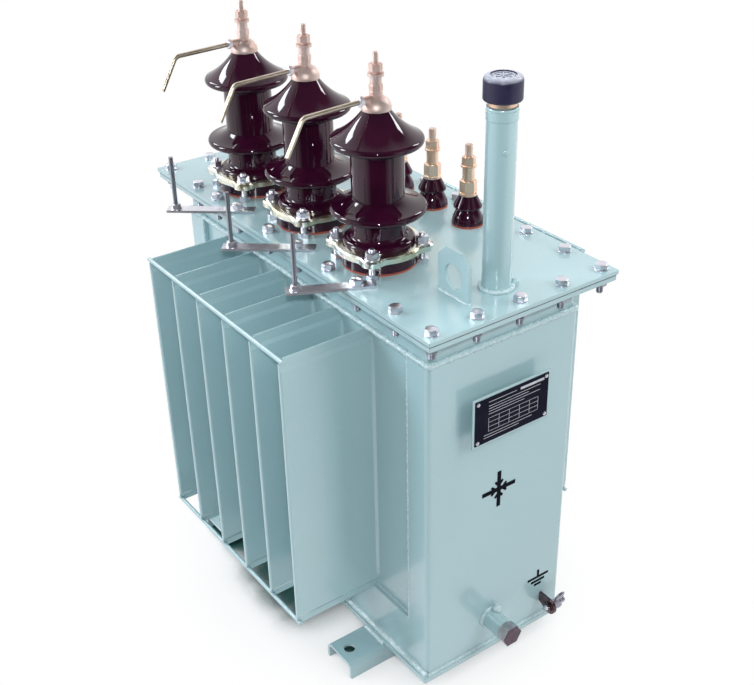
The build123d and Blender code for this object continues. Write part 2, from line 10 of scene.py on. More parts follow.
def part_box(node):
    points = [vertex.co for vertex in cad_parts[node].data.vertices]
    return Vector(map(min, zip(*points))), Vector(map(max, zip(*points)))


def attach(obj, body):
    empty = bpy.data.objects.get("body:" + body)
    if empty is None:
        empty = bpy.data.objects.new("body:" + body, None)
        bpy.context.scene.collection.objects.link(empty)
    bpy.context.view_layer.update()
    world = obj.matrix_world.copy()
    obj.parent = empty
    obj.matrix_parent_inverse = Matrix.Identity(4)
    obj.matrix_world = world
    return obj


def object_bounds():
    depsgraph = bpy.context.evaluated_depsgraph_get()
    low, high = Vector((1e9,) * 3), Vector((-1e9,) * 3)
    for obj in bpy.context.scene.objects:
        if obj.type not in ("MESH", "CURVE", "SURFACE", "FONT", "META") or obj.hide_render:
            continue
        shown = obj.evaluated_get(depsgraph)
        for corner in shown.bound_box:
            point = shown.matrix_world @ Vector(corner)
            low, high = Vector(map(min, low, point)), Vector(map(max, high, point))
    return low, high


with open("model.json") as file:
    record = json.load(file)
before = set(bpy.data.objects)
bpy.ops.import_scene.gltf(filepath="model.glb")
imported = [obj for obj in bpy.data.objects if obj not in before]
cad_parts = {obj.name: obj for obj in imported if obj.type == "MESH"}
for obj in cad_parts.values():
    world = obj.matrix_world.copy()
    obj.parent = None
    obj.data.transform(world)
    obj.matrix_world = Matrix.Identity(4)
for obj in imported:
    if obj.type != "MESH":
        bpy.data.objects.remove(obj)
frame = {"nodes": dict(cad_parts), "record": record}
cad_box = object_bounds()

MM = 0.001
UP = Vector((0, 0, 1))

# Places read from the frame, in metres
cover_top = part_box("cover_plate")[1].z
flange_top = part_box("front_flange")[1].z
wall_low, wall_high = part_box("right_end_wall")
end_face = wall_high.x
side_face = wall_high.y
seam_level = wall_high.z
return_x = wall_low.x
base_low, base_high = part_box("bottom_plate")
fins_low, fins_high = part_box("front_fins")
skirt_top = fins_low.z
panel_face = -fins_high.y
hv_numbers = (1, 2, 3)


def middle(node):
    """Middle of a node's box."""
    low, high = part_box(node)
    return (low + high) / 2


# Node graph helpers


def put(tree, kind, inputs=None, **settings):
    """Add a shader node, set its options, and set or link its inputs."""
    made = tree.nodes.new(kind)
    for key, value in settings.items():
        setattr(made, key, value)
    for key, value in (inputs or {}).items():
        if isinstance(value, bpy.types.NodeSocket):
            tree.links.new(value, made.inputs[key])
        else:
            made.inputs[key].default_value = value
    return made


def colour(red, green, blue):
    """Opaque colour."""
    return (red, green, blue, 1.0)


def start_material(name):
    """New node material with its principled shader and object coordinates."""
    material = bpy.data.materials.new(name)
    material.use_nodes = True
    tree = material.node_tree
    shader = tree.nodes["Principled BSDF"]
    place = put(tree, "ShaderNodeTexCoord").outputs["Object"]
    return material, tree, shader, place


def noise(tree, place, scale, detail=3.0):
    """Noise value round one half, at a number of cells per metre."""
    return put(tree, "ShaderNodeTexNoise", {"Vector": place, "Scale": scale, "Detail": detail}).outputs[0]


def ramp(tree, value, *stops):
    """Colour ramp through (position, colour) stops."""
    made = put(tree, "ShaderNodeValToRGB", {"Fac": value})
    elements = made.color_ramp.elements
    while len(elements) < len(stops):
        elements.new(1.0)
    for element, (position, shade) in zip(elements, stops):
        element.position = position
        element.color = shade
    return made.outputs["Color"]


def spread(tree, value, low, high, to_low, to_high):
    """Map a value from one range to another, clamped."""
    ends = {"Value": value, "From Min": low, "From Max": high, "To Min": to_low, "To Max": to_high}
    return put(tree, "ShaderNodeMapRange", ends).outputs["Result"]


def times(tree, first, second):
    """Product of two values."""
    return put(tree, "ShaderNodeMath", {0: first, 1: second}, operation="MULTIPLY").outputs[0]


def larger(tree, first, second):
    """Larger of two values."""
    return put(tree, "ShaderNodeMath", {0: first, 1: second}, operation="MAXIMUM").outputs[0]


def blend(tree, factor, first, second):
    """Mix two colours."""
    made = put(tree, "ShaderNodeMix", data_type="RGBA")
    for socket, value in ((made.inputs[0], factor), (made.inputs[6], first), (made.inputs[7], second)):
        if isinstance(value, bpy.types.NodeSocket):
            tree.links.new(value, socket)
        else:
            socket.default_value = value
    return made.outputs[2]


def rest_of(tree, value):
    """One less a value."""
    return spread(tree, value, 0.0, 1.0, 1.0, 0.0)


def wander(tree, place, scale, low, high):
    """Value that wanders between two ends, at a number of cells per metre."""
    return spread(tree, noise(tree, place, scale), 0.2, 0.8, low, high)


def part_of(tree, vector, axis):
    """One coordinate of a vector."""
    return put(tree, "ShaderNodeSeparateXYZ", {0: vector}).outputs[axis]


def dot(tree, first, second):
    """Dot product of two vectors."""
    made = put(tree, "ShaderNodeVectorMath", {0: first, 1: second}, operation="DOT_PRODUCT")
    return made.outputs["Value"]


def surface_normal(tree):
    """Normal of the surface itself."""
    return put(tree, "ShaderNodeNewGeometry").outputs["Normal"]


def edge_mask(tree, radius):
    """One on the edges of a piece and zero on its faces, with the rounded normal."""
    rounded = put(tree, "ShaderNodeBevel", {"Radius": radius}, samples=edge_samples).outputs["Normal"]
    return spread(tree, dot(tree, rounded, surface_normal(tree)), *edge_likeness, 1.0, 0.0), rounded


def bump(tree, height, strength, distance, normal=None):
    """Bump from a height value."""
    inputs = {"Height": height, "Strength": strength, "Distance": distance}
    if normal is not None:
        inputs["Normal"] = normal
    return put(tree, "ShaderNodeBump", inputs).outputs["Normal"]


def wire(tree, shader, base, roughness, normal):
    """Drive the colour, the roughness and the normal of a shader."""
    for key, value in (("Base Color", base), ("Roughness", roughness), ("Normal", normal)):
        tree.links.new(value, shader.inputs[key])


def set_values(shader, **values):
    """Set constants on a shader's own sockets, with _ for the spaces in their names."""
    for key, value in values.items():
        shader.inputs[key.replace("_", " ")].default_value = value


# Materials: sizes of edges and relief, then one function for each kind

edge_samples = 4
edge_likeness = (0.80, 0.99)
paint_edge = 1.4 * MM
metal_edge = 0.5 * MM
plug_edge = 1.3 * MM
peel_depth = 0.4 * MM
weld_depth = 0.8 * MM
glaze_depth = 1.0 * MM
patina_depth = 0.3 * MM
scratch_depth = 0.2 * MM
bare_rim = (cover_top + 2.4 * MM, cover_top + 3.0 * MM)
rim_raggedness = 1.2 * MM
horn_rod_start = (cover_top + 5.0 * MM, cover_top + 7.0 * MM)


def paint_material():
    """Pale blue-green gloss paint with a slight orange peel and lighter edges."""
    material, tree, shader, place = start_material("tank_paint")
    edges, rounded = edge_mask(tree, paint_edge)
    tone = ramp(
        tree,
        noise(tree, place, 3.5, 2.0),
        (0.15, colour(0.334, 0.492, 0.519)),
        (0.85, colour(0.372, 0.530, 0.559)),
    )
    speck = spread(tree, noise(tree, place, 320.0, 2.0), 0.50, 0.90, 0.0, 0.22)
    specked = blend(tree, speck, tone, colour(0.50, 0.62, 0.64))
    worn = spread(tree, noise(tree, place, 140.0, 4.0), 0.35, 0.65, 0.20, 0.60)
    body = blend(tree, times(tree, edges, worn), specked, colour(0.66, 0.78, 0.79))
    gloss = spread(tree, noise(tree, place, 6.0, 2.0), 0.1, 0.9, 0.19, 0.265)
    peel = bump(tree, noise(tree, place, 380.0, 2.0), 0.04, peel_depth, rounded)
    wire(tree, shader, body, gloss, peel)
    set_values(shader, Coat_Weight=0.9, Coat_Roughness=0.16)
    return material


def weld_material():
    """The same paint over a rough weld, with lighter patches painted in as highlights on its ripples."""
    material, tree, shader, place = start_material("weld_paint")
    # Random lighter patches in the weld's colour: painted highlights.
    tone = ramp(
        tree,
        noise(tree, place, 240.0, 5.0),
        (0.30, colour(0.39, 0.54, 0.56)),
        (0.70, colour(0.56, 0.69, 0.71)),
    )
    gloss = spread(tree, noise(tree, place, 180.0), 0.3, 0.7, 0.18, 0.36)
    spatter = bump(tree, noise(tree, place, 700.0, 4.0), 0.30, weld_depth)
    wire(tree, shader, tone, gloss, spatter)
    set_values(shader, Coat_Weight=0.5, Coat_Roughness=0.12)
    return material


def porcelain_material():
    """Dark brown glaze, with a bare red-brown rim where the porcelain stands on its gasket."""
    material, tree, shader, place = start_material("porcelain")
    glaze = ramp(
        tree,
        noise(tree, place, 22.0),
        (0.25, colour(0.016, 0.0014, 0.0090)),
        (0.75, colour(0.034, 0.0032, 0.0160)),
    )
    height = part_of(tree, place, "Z")
    ragged = times(tree, noise(tree, place, 90.0), rim_raggedness)
    lifted = put(tree, "ShaderNodeMath", {0: height, 1: ragged}, operation="SUBTRACT").outputs[0]
    bare = spread(tree, lifted, *bare_rim, 1.0, 0.0)
    body = blend(tree, bare, glaze, colour(0.34, 0.075, 0.045))
    gloss = spread(tree, bare, 0.0, 1.0, 0.05, 0.75)
    waves = bump(tree, noise(tree, place, 40.0, 1.0), 0.05, glaze_depth)
    wire(tree, shader, body, gloss, waves)
    set_values(shader, Specular_IOR_Level=0.42, Coat_Weight=0.15, Coat_Roughness=0.03)
    return material


def metal_material(name, shades, roughness, blotch, wear=None, relief=0.03):
    """Metal with blotches of several shades, a grain in its roughness and, where worn, brighter edges."""
    material, tree, shader, place = start_material(name)
    step = 0.6 / (len(shades) - 1)
    stops = [(0.2 + step * index, colour(*shade)) for index, shade in enumerate(shades)]
    body = ramp(tree, noise(tree, place, blotch, 2.0), *stops)
    rounded = None
    if wear is not None:
        edges, rounded = edge_mask(tree, metal_edge)
        body = blend(tree, edges, body, colour(*wear))
    gloss = wander(tree, place, 150.0, *roughness)
    scratches = bump(tree, noise(tree, place, 900.0, 2.0), relief, scratch_depth, rounded)
    wire(tree, shader, body, gloss, scratches)
    set_values(shader, Metallic=1.0)
    return material


def lower_horn_material():
    """Bright zinc on the flat bar, turning darker from a little above the bar, on the rod."""
    material, tree, shader, place = start_material("lower_horn_zinc")
    blotches = noise(tree, place, 40.0, 2.0)
    bar = ramp(tree, blotches, (0.2, colour(0.66, 0.65, 0.73)), (0.8, colour(0.85, 0.85, 0.90)))
    rod = ramp(tree, blotches, (0.2, colour(0.30, 0.31, 0.36)), (0.8, colour(0.46, 0.47, 0.53)))
    above = spread(tree, part_of(tree, place, "Z"), *horn_rod_start, 0.0, 1.0)
    gloss = wander(tree, place, 150.0, 0.28, 0.40)
    scratches = bump(tree, noise(tree, place, 900.0, 2.0), 0.03, scratch_depth)
    wire(tree, shader, blend(tree, above, bar, rod), gloss, scratches)
    set_values(shader, Metallic=1.0)
    return material


def plug_material():
    """Drain plug: purple-brown patina on its face, lighter flanks that are partly worn bright steel and
    partly painted light.
    """
    material, tree, shader, place = start_material("plug_steel")
    edges, rounded = edge_mask(tree, plug_edge)
    flank_wear_and_light = ramp(
        tree,
        noise(tree, place, 90.0),
        (0.3, colour(0.40, 0.36, 0.38)),
        (0.7, colour(0.66, 0.64, 0.67)),
    )
    patina = ramp(
        tree,
        noise(tree, place, 70.0, 4.0),
        (0.3, colour(0.060, 0.042, 0.062)),
        (0.7, colour(0.170, 0.118, 0.150)),
    )
    # Faces pointing out along X take the dark patina and the other faces the lighter flank colour: partly
    # patina and wear, partly painted light on the flanks.
    ahead = spread(tree, part_of(tree, surface_normal(tree), "X"), 0.5, 0.9, 0.0, 1.0)
    body = blend(tree, edges, blend(tree, ahead, flank_wear_and_light, patina), colour(0.70, 0.66, 0.68))
    gloss = wander(tree, place, 200.0, 0.28, 0.46)
    pits = bump(tree, noise(tree, place, 500.0), 0.06, patina_depth, rounded)
    wire(tree, shader, body, gloss, pits)
    set_values(shader, Metallic=1.0)
    return material


def plain_material(name, dark, light, roughness, grain, relief, shine=0.5):
    """Non-metal of two near shades, such as rubber, moulded plastic or a printed film."""
    material, tree, shader, place = start_material(name)
    tone = ramp(tree, noise(tree, place, grain), (0.25, colour(*dark)), (0.75, colour(*light)))
    gloss = wander(tree, place, grain * 3, *roughness)
    pores = bump(tree, noise(tree, place, 1200.0, 2.0), relief, scratch_depth)
    wire(tree, shader, tone, gloss, pores)
    set_values(shader, Specular_IOR_Level=shine)
    return material


def cap_material():
    """Moulded blue-black plastic, with a pale painted reflection on its upper faces."""
    material, tree, shader, place = start_material("black_cap")
    tone = ramp(
        tree,
        noise(tree, place, 70.0),
        (0.25, colour(0.011, 0.009, 0.036)),
        (0.75, colour(0.019, 0.016, 0.052)),
    )
    # Upward faces are painted pale in patches: a painted reflection of the bright surroundings on the
    # cap's top.
    painted_top_sheen = spread(tree, part_of(tree, surface_normal(tree), "Z"), 0.20, 0.95, 0.0, 1.0)
    sheen_patches = spread(tree, noise(tree, place, 160.0), 0.2, 0.7, 0.6, 0.95)
    body = blend(tree, times(tree, painted_top_sheen, sheen_patches), tone, colour(0.56, 0.58, 0.67))
    gloss = wander(tree, place, 210.0, 0.36, 0.48)
    pores = bump(tree, noise(tree, place, 1200.0, 2.0), 0.02, scratch_depth)
    wire(tree, shader, body, gloss, pores)
    return material


materials = {
    "tank_paint": paint_material(),
    "porcelain": porcelain_material(),
    "brass": metal_material(
        "brass",
        [(0.66, 0.45, 0.38), (0.79, 0.60, 0.54), (0.85, 0.72, 0.69)],
        (0.46, 0.60),
        38.0,
        (0.88, 0.78, 0.74),
    ),
    "yellow_zinc": metal_material(
        "yellow_zinc",
        [(0.72, 0.58, 0.32), (0.90, 0.85, 0.64), (0.80, 0.84, 0.80), (0.88, 0.70, 0.60)],
        (0.19, 0.27),
        26.0,
        (0.92, 0.90, 0.82),
        0.0,
    ),
    "bright_zinc": metal_material(
        "bright_zinc",
        [(0.66, 0.65, 0.73), (0.78, 0.77, 0.84), (0.85, 0.85, 0.90)],
        (0.28, 0.40),
        40.0,
        (0.93, 0.93, 0.97),
    ),
    "bare_steel": metal_material(
        "bare_steel",
        [(0.085, 0.055, 0.060), (0.16, 0.11, 0.12), (0.26, 0.20, 0.22)],
        (0.26, 0.44),
        60.0,
        (0.62, 0.56, 0.58),
    ),
    "gasket": plain_material(
        "gasket", (0.10, 0.13, 0.14), (0.16, 0.20, 0.21), (0.6, 0.8), 60.0, 0.2, 0.3
    ),
    "black_cap": cap_material(),
    "plate_black": plain_material(
        "plate_black", (0.006, 0.006, 0.014), (0.012, 0.012, 0.024), (0.32, 0.44), 40.0, 0.04, 0.02
    ),
}
weld_paint = weld_material()
plug_steel = plug_material()
lower_horn_zinc = lower_horn_material()
horn_zinc = metal_material(
    "horn_zinc",
    [(0.52, 0.42, 0.33), (0.70, 0.61, 0.48), (0.68, 0.56, 0.50)],
    (0.30, 0.40),
    20.0,
    relief=0.0,
)
dull_brass = metal_material(
    "dull_brass",
    [(0.80, 0.53, 0.38), (0.92, 0.67, 0.51), (0.94, 0.75, 0.62)],
    (0.34, 0.48),
    45.0,
    (0.92, 0.80, 0.69),
)
# Darker zinc: on the nuts under the flange it is painted shade for the shadow there; the wing nut is made
# of it too.
dark_zinc_and_painted_shade = metal_material(
    "dark_zinc_and_painted_shade",
    [(0.24, 0.25, 0.30), (0.36, 0.36, 0.42), (0.46, 0.46, 0.52)],
    (0.30, 0.46),
    60.0,
    (0.66, 0.66, 0.72),
)
mark_black = plain_material(
    "mark_black", (0.003, 0.003, 0.007), (0.007, 0.007, 0.013), (0.5, 0.65), 80.0, 0.1, 0.03
)
plate_lines = plain_material(
    "plate_lines", (0.42, 0.43, 0.47), (0.60, 0.61, 0.65), (0.35, 0.5), 120.0, 0.05
)

slots = {row["node"]: row["material_slot"] for row in frame["record"]["subparts"]}
special = {"drain_plug": plug_steel, "lv_terminals": dull_brass, "filler_neck_ring": dull_brass}
for number in hv_numbers:
    special[f"upper_horn_{number}"] = horn_zinc
    special[f"lower_horn_{number}"] = lower_horn_zinc
for node, shown in frame["nodes"].items():
    shown.data.materials.clear()
    shown.data.materials.append(special.get(node, materials[slots[node]]))


# Mesh helpers

EDGE_ANGLE = 35.0
TURNED_ANGLE = 50.0
BEAD_ANGLE = 80.0
RIVET_SIDES = 16
STUD_SIDES = 18
SMALL_SIDES = 20
KNOB_SIDES = 24
SEAL_SIDES = 40
COLLAR_SIDES = 64


def finish_piece(name, mesh, material, smooth_angle=EDGE_ANGLE):
    """Turn a mesh under construction into a piece that rides on the object."""
    bmesh.ops.recalc_face_normals(mesh, faces=mesh.faces)
    data = bpy.data.meshes.new(name)
    mesh.to_mesh(data)
    mesh.free()
    piece = bpy.data.objects.new(name, data)
    bpy.context.scene.collection.objects.link(piece)
    data.materials.append(material)
    data.shade_smooth()
    data.set_sharp_from_angle(angle=radians(smooth_angle))
    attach(piece, "root")
    return piece


def bridge(mesh, lower, upper):
    """Faces between two rings, either of which may be a single point."""
    count = max(len(lower), len(upper))
    for index in range(count):
        after = (index + 1) % count
        if len(lower) == 1:
            mesh.faces.new((lower[0], upper[after], upper[index]))
        elif len(upper) == 1:
            mesh.faces.new((lower[index], lower[after], upper[0]))
        else:
            mesh.faces.new((lower[index], lower[after], upper[after], upper[index]))


def add_rings(mesh, rings, closed=False):
    """Skin through rings of points, capped at both ends or closed on itself."""
    verts = [[mesh.verts.new(point) for point in ring] for ring in rings]
    for lower, upper in zip(verts, verts[1:]):
        bridge(mesh, lower, upper)
    if closed:
        bridge(mesh, verts[-1], verts[0])
        return
    for ring in (verts[0], verts[-1]):
        if len(ring) > 1:
            mesh.faces.new(ring)


def scaled(outline):
    """Outline in millimetres, brought to metres."""
    return [(radius * MM, height * MM) for radius, height in outline]


def add_lathe(mesh, place, profile, segments=28):
    """Turned solid: a profile of (radius, height) points that starts and ends on the axis."""
    rings = []
    for radius, height in profile:
        turns = [0.0] if radius == 0 else [2 * pi * index / segments for index in range(segments)]
        rings.append([place @ Vector((radius * cos(turn), radius * sin(turn), height)) for turn in turns])
    add_rings(mesh, rings)


HEX_POINTS = 24
HEX_CROWN_SHARE = 0.94
HEX_CHAMFER_SLOPE = 0.55


def add_hex(mesh, place, across_flats, height):
    """Hexagon head or nut whose corners are turned off at the top."""
    flat = across_flats / 2
    crown = HEX_CROWN_SHARE * flat
    turns = [2 * pi * index / HEX_POINTS for index in range(HEX_POINTS)]
    sixth = pi / 3
    reach = [flat / cos((turn + sixth / 2) % sixth - sixth / 2) for turn in turns]
    foot = [Vector((far * cos(turn), far * sin(turn), 0)) for far, turn in zip(reach, turns)]
    brow = [point + UP * (height - HEX_CHAMFER_SLOPE * (far - crown)) for point, far in zip(foot, reach)]
    top = [Vector((crown * cos(turn), crown * sin(turn), height)) for turn in turns]
    rings = [[Vector((0, 0, 0))], foot, brow, top, [Vector((0, 0, height))]]
    add_rings(mesh, [[place @ point for point in ring] for ring in rings])


def disc(radius, thickness, edge):
    """Profile of a washer or button with a turned edge."""
    return [(0, 0), (radius, 0), (radius, thickness - edge), (radius - edge, thickness), (0, thickness)]


def thread(radius, depth, pitch, bottom, top):
    """Profile of a threaded stud with a pointed end."""
    turns = max(1, int((top - bottom - depth) / pitch))
    profile = [(0, bottom)]
    for index in range(turns):
        level = bottom + index * pitch
        profile.append((radius - depth, level))
        profile.append((radius, level + pitch / 2))
    profile.append((radius - depth, bottom + turns * pitch))
    profile.append((radius - 2 * depth, top))
    profile.append((0, top))
    return profile


def at(x, y, z, turn=0.0):
    """Upright place, turned round its axis."""
    return Matrix.Translation((x, y, z)) @ Matrix.Rotation(turn, 4, "Z")


def below(x, y, z, turn=0.0):
    """Place that hangs down."""
    return Matrix.Translation((x, y, z)) @ Matrix.Rotation(pi, 4, "X") @ Matrix.Rotation(turn, 4, "Z")


def along(point, direction, turn=0.0):
    """Place whose axis points along a direction."""
    aim = Vector(direction).normalized().to_track_quat("Z", "Y").to_matrix().to_4x4()
    return Matrix.Translation(point) @ aim @ Matrix.Rotation(turn, 4, "Z")


BEAD_STEP = 2.0 * MM
BEAD_RIPPLE = 5.0 * MM
BEAD_SIDES = 8
BEAD_BASE_SHARE = 0.84
BEAD_RIPPLE_SHARE = 0.20
BEAD_DRIFT_SHARE = 0.16
UNEVEN_SHARE = 0.10


def add_bead(mesh, points, radius, seed, closed=False):
    """Weld bead along straight runs, with the ripples and the unevenness of hand welding."""
    chance = random.Random(seed)
    runs = list(zip(points, points[1:] + points[:1] if closed else points[1:]))
    rings = []
    travelled = 0.0
    for start, finish in runs:
        length = (finish - start).length
        heading = (finish - start).normalized()
        aside = heading.cross(UP if abs(heading.z) < 0.9 else Vector((1, 0, 0))).normalized()
        above = aside.cross(heading)
        count = max(1, ceil(length / BEAD_STEP))
        for index in range(count):
            travelled += length / count
            ripple = abs(sin(pi * travelled / BEAD_RIPPLE))
            uneven = chance.uniform(-UNEVEN_SHARE, UNEVEN_SHARE)
            size = radius * (BEAD_BASE_SHARE + BEAD_RIPPLE_SHARE * ripple + uneven)
            drift = radius * BEAD_DRIFT_SHARE
            centre = start + heading * (length * (index + 0.5) / count)
            centre += aside * chance.uniform(-drift, drift) + above * chance.uniform(-drift, drift)
            turns = [2 * pi * side / BEAD_SIDES for side in range(BEAD_SIDES)]
            rings.append([centre + (aside * cos(turn) + above * sin(turn)) * size for turn in turns])
    add_rings(mesh, rings, closed)


FILLET_SINK = 0.4 * MM
FILLET_TAPER = 14.0 * MM
FILLET_CURVE_SHARE = 0.72
WELD_BASE_SHARE = 0.86
WELD_RIPPLE_SHARE = 0.16
WELD_BULGE = 0.56
FOLD_BULGE = 0.32


def fillet_ring(centre, first, second, size, bulge):
    """Section of a fillet in the corner between two faces."""
    near = (1 + bulge) / 2
    far = bulge / 2
    curve = size * (FILLET_CURVE_SHARE + bulge / 2)
    return [
        centre - (first + second) * FILLET_SINK,
        centre + second * size - first * FILLET_SINK,
        centre + (second * near + first * far) * curve,
        centre + (first + second) * size * bulge,
        centre + (first * near + second * far) * curve,
        centre + first * size - second * FILLET_SINK,
    ]


def add_fillet_weld(mesh, start, finish, first, second, leg, seed):
    """Rippled weld in the corner between two faces, which are given by their outward normals."""
    chance = random.Random(seed)
    length = (finish - start).length
    heading = (finish - start).normalized()
    count = max(2, ceil(length / BEAD_STEP))
    rings = []
    for index in range(count + 1):
        travelled = length * index / count
        ripple = abs(sin(pi * travelled / BEAD_RIPPLE))
        uneven = chance.uniform(-UNEVEN_SHARE, UNEVEN_SHARE)
        size = leg * (WELD_BASE_SHARE + WELD_RIPPLE_SHARE * ripple + uneven)
        rings.append(fillet_ring(start + heading * travelled, first, second, size, WELD_BULGE))
    add_rings(mesh, rings)


def add_fold(mesh, start, finish, first, second, leg):
    """Smooth hollow fold in the corner between two faces, which runs out at both ends."""
    length = (finish - start).length
    heading = (finish - start).normalized()
    rings = []
    run_in = (0, FILLET_TAPER / 2, FILLET_TAPER)
    run_out = [length - travelled for travelled in reversed(run_in)]
    for travelled in (*run_in, *run_out):
        ends = min(1.0, (min(travelled, length - travelled) + MM) / FILLET_TAPER)
        rings.append(fillet_ring(start + heading * travelled, first, second, leg * ends, FOLD_BULGE))
    add_rings(mesh, rings)


def circle_points(centre, radius, axis=UP, count=48):
    """Points of a circle round an axis."""
    place = along(centre, axis)
    turns = [2 * pi * index / count for index in range(count)]
    return [place @ Vector((radius * cos(turn), radius * sin(turn), 0)) for turn in turns]


def rectangle_points(low, high, z):
    """Corners of a level rectangle."""
    corners = ((low.x, low.y), (high.x, low.y), (high.x, high.y), (low.x, high.y))
    return [Vector((x, y, z)) for x, y in corners]


# Cover bolts: head and washer on the cover, nut and bolt end under the flange

bolt_across_flats = 17.0 * MM
bolt_head_height = 7.5 * MM
bolt_washer_radius = 10.5 * MM
bolt_washer_thickness = 1.8 * MM
bolt_radius = 5.0 * MM
bolt_cut = (0.6 * MM, 1.5 * MM)
bolt_seed = 3
bolt_end_length = 12.0 * MM
nut_height = 10.0 * MM
flange_sheet = 7.0 * MM
bolt_row_y = 156.0 * MM
bolt_end_x = 373.0 * MM
bar_thickness = 4.0 * MM
front_bolts = [293, 128, -40, -205, -272]
rear_bolts = [297, 212, 128, 43, -42, -127, -212, -292]
end_bolts = [-156, -78, 0, 78, 156]
washer_edge = 0.4 * MM

hv_axes = [middle(f"hv_bushing_{number}").xy for number in hv_numbers]
bar_bolt_offsets = [77.0 * MM, 76.0 * MM, 51.0 * MM]
bar_bolts = [axis.x + offset for axis, offset in zip(hv_axes, bar_bolt_offsets)]


def cover_bolts():
    """All the bolts round the cover, and their nuts below."""
    chance = random.Random(bolt_seed)
    heads = bmesh.new()
    nuts = bmesh.new()
    places = [(x * MM, -bolt_row_y, 0.0) for x in front_bolts]
    places += [(x, -bolt_row_y, bar_thickness) for x in bar_bolts]
    places += [(x * MM, bolt_row_y, 0.0) for x in rear_bolts]
    places += [(sign * bolt_end_x, y * MM, 0.0) for sign in (-1, 1) for y in end_bolts]
    under = flange_top - flange_sheet
    for x, y, lift in places:
        turn = chance.uniform(0, pi / 3)
        seat = cover_top + lift
        add_lathe(heads, at(x, y, seat), disc(bolt_washer_radius, bolt_washer_thickness, washer_edge))
        add_hex(heads, at(x, y, seat + bolt_washer_thickness, turn), bolt_across_flats, bolt_head_height)
        add_hex(nuts, below(x, y, under, chance.uniform(0, pi / 3)), bolt_across_flats, nut_height)
        stub = thread(bolt_radius, *bolt_cut, 0.0, nut_height + bolt_end_length)
        add_lathe(nuts, below(x, y, under), stub, STUD_SIDES)
    finish_piece("cover_bolts", heads, materials["bright_zinc"])
    # The nuts under the flange are in the darker zinc, painted shade for the shadow under the flange.
    finish_piece("flange_nuts", nuts, dark_zinc_and_painted_shade)


cover_bolts()

# Clamp studs of the high-voltage bushings, and the nuts of the horns

stud_radius = 5.0 * MM
stud_cut = (0.5 * MM, 1.5 * MM)
stud_seed = 5
stud_circle = 64.0 * MM
stud_first_angle = 45.0
stud_past_nut = 5.0 * MM
clamp_nut_across_flats = 17.0 * MM
clamp_nut_height = 8.5 * MM
clamp_washer_radius = 11.0 * MM
foot_nut_height = 8.0 * MM


def clamp_studs():
    """Four studs on each clamp ring, with a nut on the cover and a washer and nut on the ring."""
    chance = random.Random(stud_seed)
    studs = bmesh.new()
    for number, axis in enumerate(hv_axes, 1):
        ring_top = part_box(f"hv_clamp_ring_{number}")[1].z
        for quarter in range(4):
            angle = radians(stud_first_angle + 90 * quarter)
            x = axis.x + stud_circle * cos(angle)
            y = axis.y + stud_circle * sin(angle)
            top = ring_top - cover_top + bolt_washer_thickness + clamp_nut_height + stud_past_nut
            add_lathe(studs, at(x, y, cover_top), thread(stud_radius, *stud_cut, 0.0, top), STUD_SIDES)
            foot_nut = at(x, y, cover_top, chance.uniform(0, 1))
            add_hex(studs, foot_nut, clamp_nut_across_flats, foot_nut_height)
            washer = disc(clamp_washer_radius, bolt_washer_thickness, washer_edge)
            add_lathe(studs, at(x, y, ring_top), washer)
            nut = at(x, y, ring_top + bolt_washer_thickness, chance.uniform(0, 1))
            add_hex(studs, nut, clamp_nut_across_flats, clamp_nut_height)
    finish_piece("clamp_studs", studs, materials["bright_zinc"])


clamp_studs()

horn_nut_across_flats = 13.0 * MM
horn_nut_height = 6.5 * MM
horn_nut_reach = 24.5 * MM
horn_washer_radius = 9.0 * MM
horn_washer_thickness = 1.6 * MM
horn_rod_radius = 3.5 * MM
horn_nut_turn = 0.3


def horn_nuts():
    """A nut where each upper horn leaves its terminal, and one where each lower rod stands on its bar."""
    nuts = bmesh.new()
    for number, axis in enumerate(hv_axes, 1):
        low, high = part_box(f"upper_horn_{number}")
        root = Vector((low.x + horn_rod_radius, high.y, high.z - horn_rod_radius))
        heading = Vector((root.x - axis.x, root.y - axis.y, 0)).normalized()
        start = Vector((axis.x, axis.y, root.z)) + heading * horn_nut_reach
        add_hex(nuts, along(start, heading), horn_nut_across_flats, horn_nut_height)
        x = high.x - horn_rod_radius
        y = low.y + horn_rod_radius
        seat = cover_top + bar_thickness
        add_lathe(nuts, at(x, y, seat), disc(horn_washer_radius, horn_washer_thickness, washer_edge))
        bar_nut = at(x, y, seat + horn_washer_thickness, horn_nut_turn)
        add_hex(nuts, bar_nut, horn_nut_across_flats, horn_nut_height)
    finish_piece("horn_nuts", nuts, materials["bright_zinc"])


horn_nuts()

# Threads on the terminal studs

hv_thread_radius = 4.3 * MM
hv_thread_length = 27.0 * MM
lv_thread_radius = 6.3 * MM
lv_thread_length = 19.0 * MM
lv_cut = (0.6 * MM, 1.75 * MM)
lv_count = 4
thread_tip = 0.6 * MM


def terminal_threads():
    """Cut threads on the bare ends of the seven terminal studs."""
    threads = bmesh.new()
    for number, axis in enumerate(hv_axes, 1):
        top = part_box(f"hv_terminal_{number}")[1].z
        shape = thread(hv_thread_radius, *stud_cut, top - hv_thread_length, top + thread_tip)
        add_lathe(threads, at(axis.x, axis.y, 0), shape, STUD_SIDES)
    low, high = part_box("lv_terminals")
    seal_radius = (high.y - low.y) / 2
    pitch = (high.x - low.x - 2 * seal_radius) / (lv_count - 1)
    shape = thread(lv_thread_radius, *lv_cut, high.z - lv_thread_length, high.z + thread_tip)
    for index in range(lv_count):
        axis = at(high.x - seal_radius - index * pitch, low.y + seal_radius, 0)
        add_lathe(threads, axis, shape, STUD_SIDES)
    finish_piece("terminal_threads", threads, materials["brass"])


terminal_threads()

# Weld beads and folds

